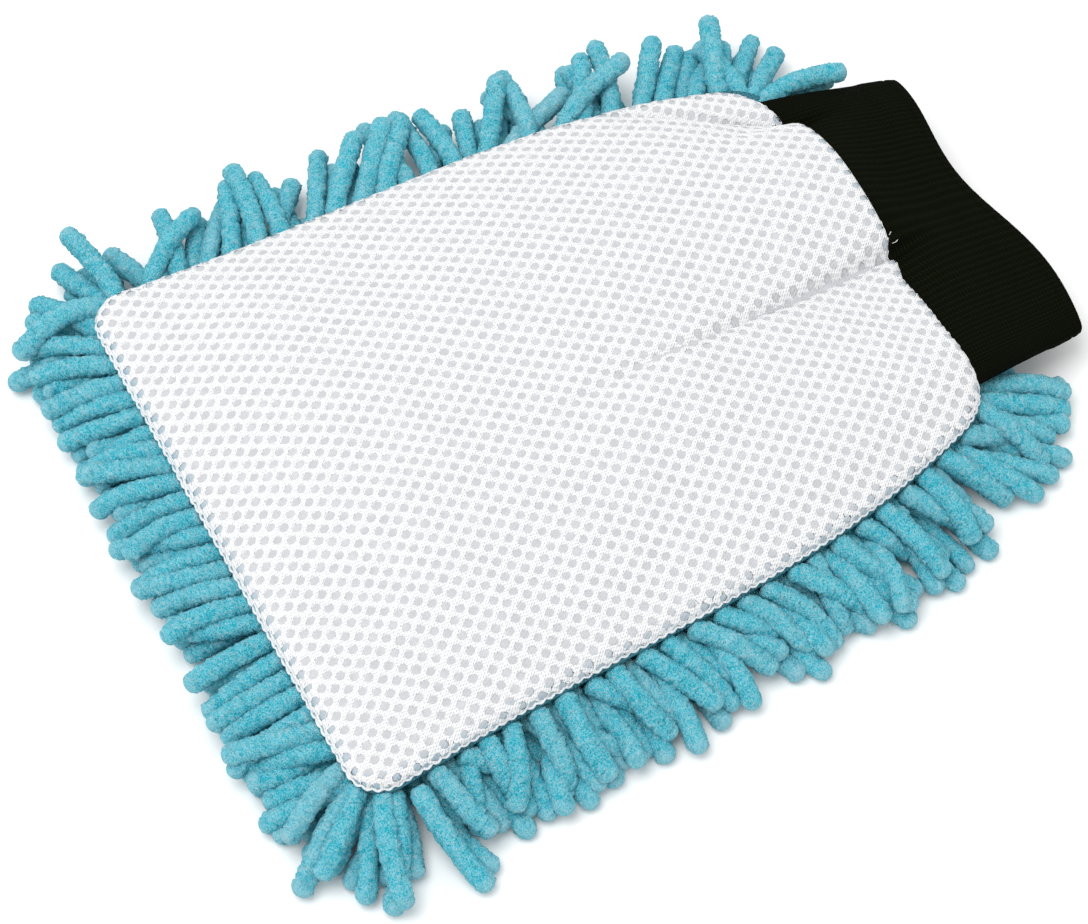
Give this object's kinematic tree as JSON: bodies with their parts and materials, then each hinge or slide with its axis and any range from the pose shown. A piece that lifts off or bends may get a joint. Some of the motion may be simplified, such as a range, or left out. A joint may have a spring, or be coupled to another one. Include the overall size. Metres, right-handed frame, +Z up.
{
  "type": "wash mitt",
  "caption": "Flat hand mitt for washing paintwork, with an open white mesh back, soft chenille noodles over the palm and edges, and a stretch knit cuff.",
  "frame": {"origin": "middle of the mitt's outline on the surface it lies on, at the noodle tips", "axes": "+Y from the fingertips to the cuff, +X to the right across the hand, +Z up through the mesh back"},
  "size_m": [0.2362, 0.2962, 0.0379],
  "materials": {
    "mesh": "open white polyester net face of a spacer fabric",
    "backing": "close-knit pale backing of the spacer fabric",
    "allowance": "turned-in blue-green ground cloth",
    "thread": "white polyester sewing thread",
    "ground": "blue-green woven ground cloth",
    "chenille": "velvety sky-blue microfibre chenille",
    "knit": "black rib knit",
    "elastic": "covered rubber thread",
    "dark_thread": "black polyester sewing thread"
  },
  "bodies": {
    "mitt": {"mesh_face": "mesh", "mesh_backing": "backing", "seam_allowance": "allowance", "edge_seam_thread": "thread", "overlock_thread": "thread", "palm_ground": "ground", "noodle_row_01": "chenille", "noodle_row_02": "chenille", "noodle_row_03": "chenille", "noodle_row_04": "chenille", "noodle_row_05": "chenille", "noodle_row_06": "chenille", "noodle_row_07": "chenille", "noodle_row_08": "chenille", "noodle_row_09": "chenille", "noodle_row_10": "chenille", "noodle_row_11": "chenille", "noodle_row_12": "chenille", "noodle_row_13": "chenille", "noodle_row_14": "chenille", "noodle_row_15": "chenille", "noodle_row_16": "chenille", "noodle_row_17": "chenille", "noodle_row_18": "chenille", "noodle_row_19": "chenille", "noodle_row_20": "chenille", "noodle_row_21": "chenille", "noodle_row_22": "chenille", "noodle_row_23": "chenille", "noodle_row_24": "chenille", "noodle_row_25": "chenille", "noodle_row_26": "chenille", "cuff_join_thread": "dark_thread"},
    "cuff": {"cuff": "knit", "cuff_elastic": "elastic"}
  },
  "joints": [
    {"name": "cuff_fold", "type": "hinge", "parent": "mitt", "child": "cuff", "pos_m": [0, 0.1061, 0.0299], "axis": [1, 0, 0], "range_deg": [0, 75]}
  ]
}
